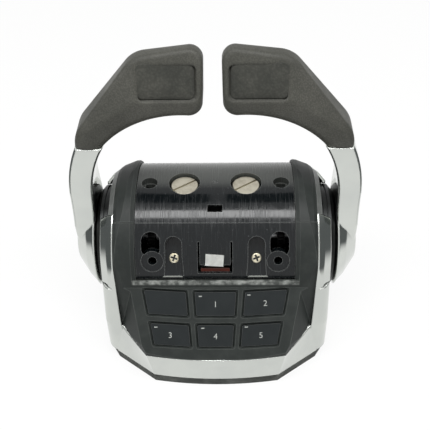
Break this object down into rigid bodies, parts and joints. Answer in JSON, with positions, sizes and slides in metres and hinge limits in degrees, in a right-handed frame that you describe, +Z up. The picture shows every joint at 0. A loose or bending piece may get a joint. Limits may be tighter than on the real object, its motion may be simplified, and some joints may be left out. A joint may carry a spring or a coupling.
{
  "type": "boat throttle control lever",
  "caption": "Twin-lever electronic throttle control head: chrome cheeks and base, black covers with a key panel, padded handles over a friction-held shaft.",
  "frame": {"origin": "on the dash face, under the lever axis, midway between the levers", "axes": "+Z up out of the dash, +X to the right hand of the operator, who stands on the -Y side"},
  "size_m": [0.2028, 0.1447, 0.2172],
  "materials": {
    "chrome": "bright chrome plating on cast metal",
    "chrome_lever": "bright chrome plating on cast metal",
    "cap_grey": "satin grey paint",
    "neck_dark": "dark anodised rings",
    "matte_black": "fine-grained black plastic",
    "gloss_black": "smooth black plastic with fine scratches",
    "key_black": "satin black keys",
    "rubber_grip": "charcoal leather-grain elastomer",
    "rubber_pad": "grained elastomer pad, set into the grip",
    "gasket_rubber": "dark grey sealing rubber",
    "disc_metal": "turned silver-beige metal",
    "screw_steel": "zinc-plated steel",
    "frame_alloy": "die-cast alloy",
    "steel_inner": "machined steel",
    "bronze": "sintered bronze",
    "inner_plastic": "natural acetal",
    "board_green": "coated circuit board",
    "mat_rubber": "grey silicone",
    "strip_rust": "reddish-brown plastic"
  },
  "bodies": {
    "head": {"base_gasket": "gasket_rubber", "base_plate": "frame_alloy", "bridge_plate": "frame_alloy", "center_block": "frame_alloy", "center_lower": "gloss_black", "center_upper": "gloss_black", "chrome_body": "chrome", "cover_screws": "screw_steel", "detent_block_left": "inner_plastic", "detent_block_right": "inner_plastic", "detent_plunger_left": "steel_inner", "detent_plunger_right": "steel_inner", "detent_roller_left": "steel_inner", "detent_roller_right": "steel_inner", "end_cap_left": "cap_grey", "end_cap_right": "cap_grey", "friction_shoe_left": "bronze", "friction_shoe_right": "bronze", "front_cover": "matte_black", "key_board": "board_green", "key_mat": "mat_rubber", "latch_strip": "strip_rust", "position_sensor_left": "matte_black", "position_sensor_right": "matte_black", "shaft_bush_left": "bronze", "shaft_bush_right": "bronze", "side_frame_left": "frame_alloy", "side_frame_right": "frame_alloy", "upper_cover": "matte_black"},
    "lever_left": {"lever_arm_left": "chrome_lever", "grip_left": "rubber_grip", "grip_pad_left": "rubber_pad", "hub_collar_left": "neck_dark", "lever_shaft_left": "steel_inner", "detent_wheel_left": "steel_inner", "friction_drum_left": "steel_inner", "sensor_gear_left": "inner_plastic"},
    "pinion_left": {"sensor_pinion_left": "inner_plastic"},
    "adjuster_left": {"adjuster_screw_left": "disc_metal"},
    "lever_right": {"lever_arm_right": "chrome_lever", "grip_right": "rubber_grip", "grip_pad_right": "rubber_pad", "hub_collar_right": "neck_dark", "lever_shaft_right": "steel_inner", "detent_wheel_right": "steel_inner", "friction_drum_right": "steel_inner", "sensor_gear_right": "inner_plastic"},
    "pinion_right": {"sensor_pinion_right": "inner_plastic"},
    "adjuster_right": {"adjuster_screw_right": "disc_metal"},
    "key_1": {"key_1": "key_black"},
    "key_2": {"key_2": "key_black"},
    "key_3": {"key_3": "key_black"},
    "key_4": {"key_4": "key_black"},
    "key_5": {"key_5": "key_black"},
    "key_6": {"key_6": "key_black"}
  },
  "joints": [
    {"name": "lever_left_swing", "type": "hinge", "parent": "head", "child": "lever_left", "pos_m": [0, 0, 0.065], "axis": [1, 0, 0], "range_deg": [-70, 60]},
    {"name": "pinion_left_spin", "type": "hinge", "parent": "head", "child": "pinion_left", "pos_m": [-0.0475, 0.024, 0.065], "axis": [1, 0, 0], "range_deg": [-122, 142]},
    {"name": "adjuster_left_turn", "type": "hinge", "parent": "head", "child": "adjuster_left", "pos_m": [-0.0217, 0, 0.112], "axis": [0, 0, 1], "range_deg": [-180, 180]},
    {"name": "lever_right_swing", "type": "hinge", "parent": "head", "child": "lever_right", "pos_m": [0, 0, 0.065], "axis": [1, 0, 0], "range_deg": [-70, 60]},
    {"name": "pinion_right_spin", "type": "hinge", "parent": "head", "child": "pinion_right", "pos_m": [0.0475, 0.024, 0.065], "axis": [1, 0, 0], "range_deg": [-122, 142]},
    {"name": "adjuster_right_turn", "type": "hinge", "parent": "head", "child": "adjuster_right", "pos_m": [0.0217, 0, 0.112], "axis": [0, 0, 1], "range_deg": [-180, 180]},
    {"name": "key_1_press", "type": "slide", "parent": "head", "child": "key_1", "axis": [0, 0.7167, -0.6974], "range_m": [0, 0.0012], "stiffness_N_per_m": 900, "springref_m": -0.0012},
    {"name": "key_2_press", "type": "slide", "parent": "head", "child": "key_2", "axis": [0, 0.7167, -0.6974], "range_m": [0, 0.0012], "stiffness_N_per_m": 900, "springref_m": -0.0012},
    {"name": "key_3_press", "type": "slide", "parent": "head", "child": "key_3", "axis": [0, 0.7167, -0.6974], "range_m": [0, 0.0012], "stiffness_N_per_m": 900, "springref_m": -0.0012},
    {"name": "key_4_press", "type": "slide", "parent": "head", "child": "key_4", "axis": [0, 0.7167, -0.6974], "range_m": [0, 0.0012], "stiffness_N_per_m": 900, "springref_m": -0.0012},
    {"name": "key_5_press", "type": "slide", "parent": "head", "child": "key_5", "axis": [0, 0.7167, -0.6974], "range_m": [0, 0.0012], "stiffness_N_per_m": 900, "springref_m": -0.0012},
    {"name": "key_6_press", "type": "slide", "parent": "head", "child": "key_6", "axis": [0, 0.7167, -0.6974], "range_m": [0, 0.0012], "stiffness_N_per_m": 900, "springref_m": -0.0012}
  ],
  "couplings": [
    {"joint": "pinion_left_spin", "follows": "lever_left_swing", "ratio": -2},
    {"joint": "pinion_right_spin", "follows": "lever_right_swing", "ratio": -2}
  ]
}
